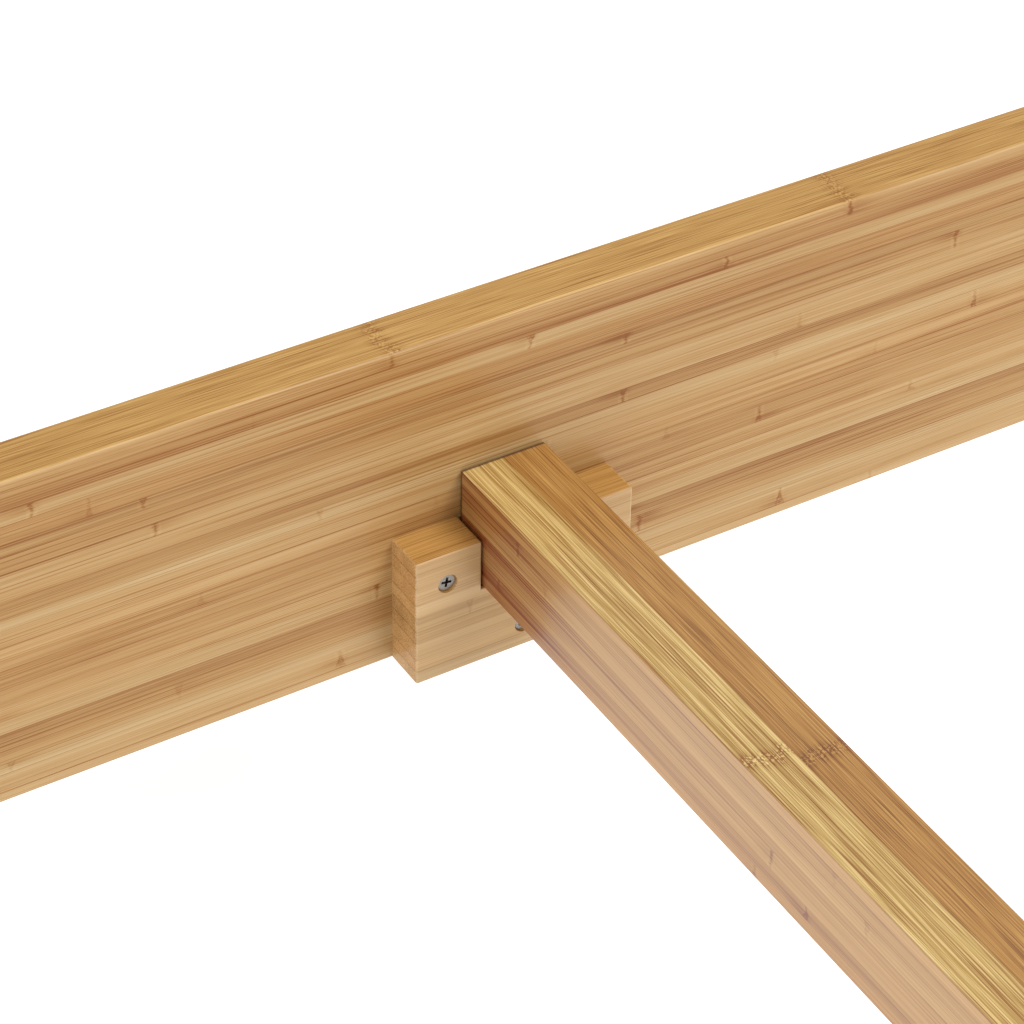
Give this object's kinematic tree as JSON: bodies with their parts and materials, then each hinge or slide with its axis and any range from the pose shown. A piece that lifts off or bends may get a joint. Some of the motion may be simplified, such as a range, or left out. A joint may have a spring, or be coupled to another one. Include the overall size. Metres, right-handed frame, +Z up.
{
  "type": "bed frame",
  "caption": "Low knock-down bed frame of laminated bamboo: rails, corner legs, side ledges and a centre beam on levelling feet that lifts out of notched cradles.",
  "frame": {"origin": "on the floor, under the middle of the bed", "axes": "+Z up, +Y along the bed towards the rear end rail, +X across the bed to the right"},
  "size_m": [1.46, 2.06, 0.306],
  "materials": {
    "bamboo_rail": "satin lacquered side-pressed laminated bamboo",
    "bamboo_beam": "satin lacquered laminated bamboo, two flat strips side by side",
    "bamboo_block": "satin lacquered side-pressed laminated bamboo block",
    "bamboo_leg": "satin lacquered laminated bamboo",
    "screw_steel": "zinc-plated, slightly worn",
    "bolt_steel": "zinc-plated",
    "insert_zinc": "cast zinc alloy",
    "dowel_beech": "plain beech",
    "glide_plastic": "moulded dark brown",
    "foot_plastic": "moulded black"
  },
  "bodies": {
    "frame": {"end_rail_rear": "bamboo_rail", "beam_cradle_rear": "bamboo_block", "cradle_screws_rear": "screw_steel", "end_rail_front": "bamboo_rail", "beam_cradle_front": "bamboo_block", "cradle_screws_front": "screw_steel", "side_rail_right": "bamboo_rail", "slat_ledge_right": "bamboo_beam", "ledge_screws_right": "screw_steel", "side_rail_left": "bamboo_rail", "slat_ledge_left": "bamboo_beam", "ledge_screws_left": "screw_steel", "corner_leg_front_left": "bamboo_leg", "glide_front_left": "glide_plastic", "corner_bolts_front_left": "bolt_steel", "corner_inserts_front_left": "insert_zinc", "corner_dowels_front_left": "dowel_beech", "corner_leg_front_right": "bamboo_leg", "glide_front_right": "glide_plastic", "corner_bolts_front_right": "bolt_steel", "corner_inserts_front_right": "insert_zinc", "corner_dowels_front_right": "dowel_beech", "corner_leg_rear_left": "bamboo_leg", "glide_rear_left": "glide_plastic", "corner_bolts_rear_left": "bolt_steel", "corner_inserts_rear_left": "insert_zinc", "corner_dowels_rear_left": "dowel_beech", "corner_leg_rear_right": "bamboo_leg", "glide_rear_right": "glide_plastic", "corner_bolts_rear_right": "bolt_steel", "corner_inserts_rear_right": "insert_zinc", "corner_dowels_rear_right": "dowel_beech", "glide_nails": "screw_steel"},
    "centre_beam": {"centre_beam": "bamboo_beam", "centre_leg_front": "bamboo_leg", "hanger_bolt_front": "bolt_steel", "beam_insert_front": "insert_zinc", "foot_insert_front": "insert_zinc", "centre_leg_rear": "bamboo_leg", "hanger_bolt_rear": "bolt_steel", "beam_insert_rear": "insert_zinc", "foot_insert_rear": "insert_zinc"},
    "foot_pad_front": {"foot_pad_front": "foot_plastic"},
    "foot_stem_front": {"foot_stem_front": "bolt_steel"},
    "foot_pad_rear": {"foot_pad_rear": "foot_plastic"},
    "foot_stem_rear": {"foot_stem_rear": "bolt_steel"}
  },
  "joints": [
    {"name": "beam_lift", "type": "slide", "parent": "frame", "child": "centre_beam", "axis": [0, 0, 1], "range_m": [0, 0.32]},
    {"name": "foot_rise_front", "type": "slide", "parent": "centre_beam", "child": "foot_pad_front", "axis": [0, 0, 1], "range_m": [0, 0.012]},
    {"name": "foot_turn_front", "type": "hinge", "parent": "foot_pad_front", "child": "foot_stem_front", "pos_m": [0, -0.355, 0], "axis": [0, 0, 1], "range_deg": [0, 3460]},
    {"name": "foot_rise_rear", "type": "slide", "parent": "centre_beam", "child": "foot_pad_rear", "axis": [0, 0, 1], "range_m": [0, 0.012]},
    {"name": "foot_turn_rear", "type": "hinge", "parent": "foot_pad_rear", "child": "foot_stem_rear", "pos_m": [0, 0.355, 0], "axis": [0, 0, 1], "range_deg": [0, 3460]}
  ],
  "couplings": [
    {"joint": "foot_turn_front", "follows": "foot_rise_front", "rad_per_m": 5026.5},
    {"joint": "foot_turn_rear", "follows": "foot_rise_rear", "rad_per_m": 5026.5}
  ]
}
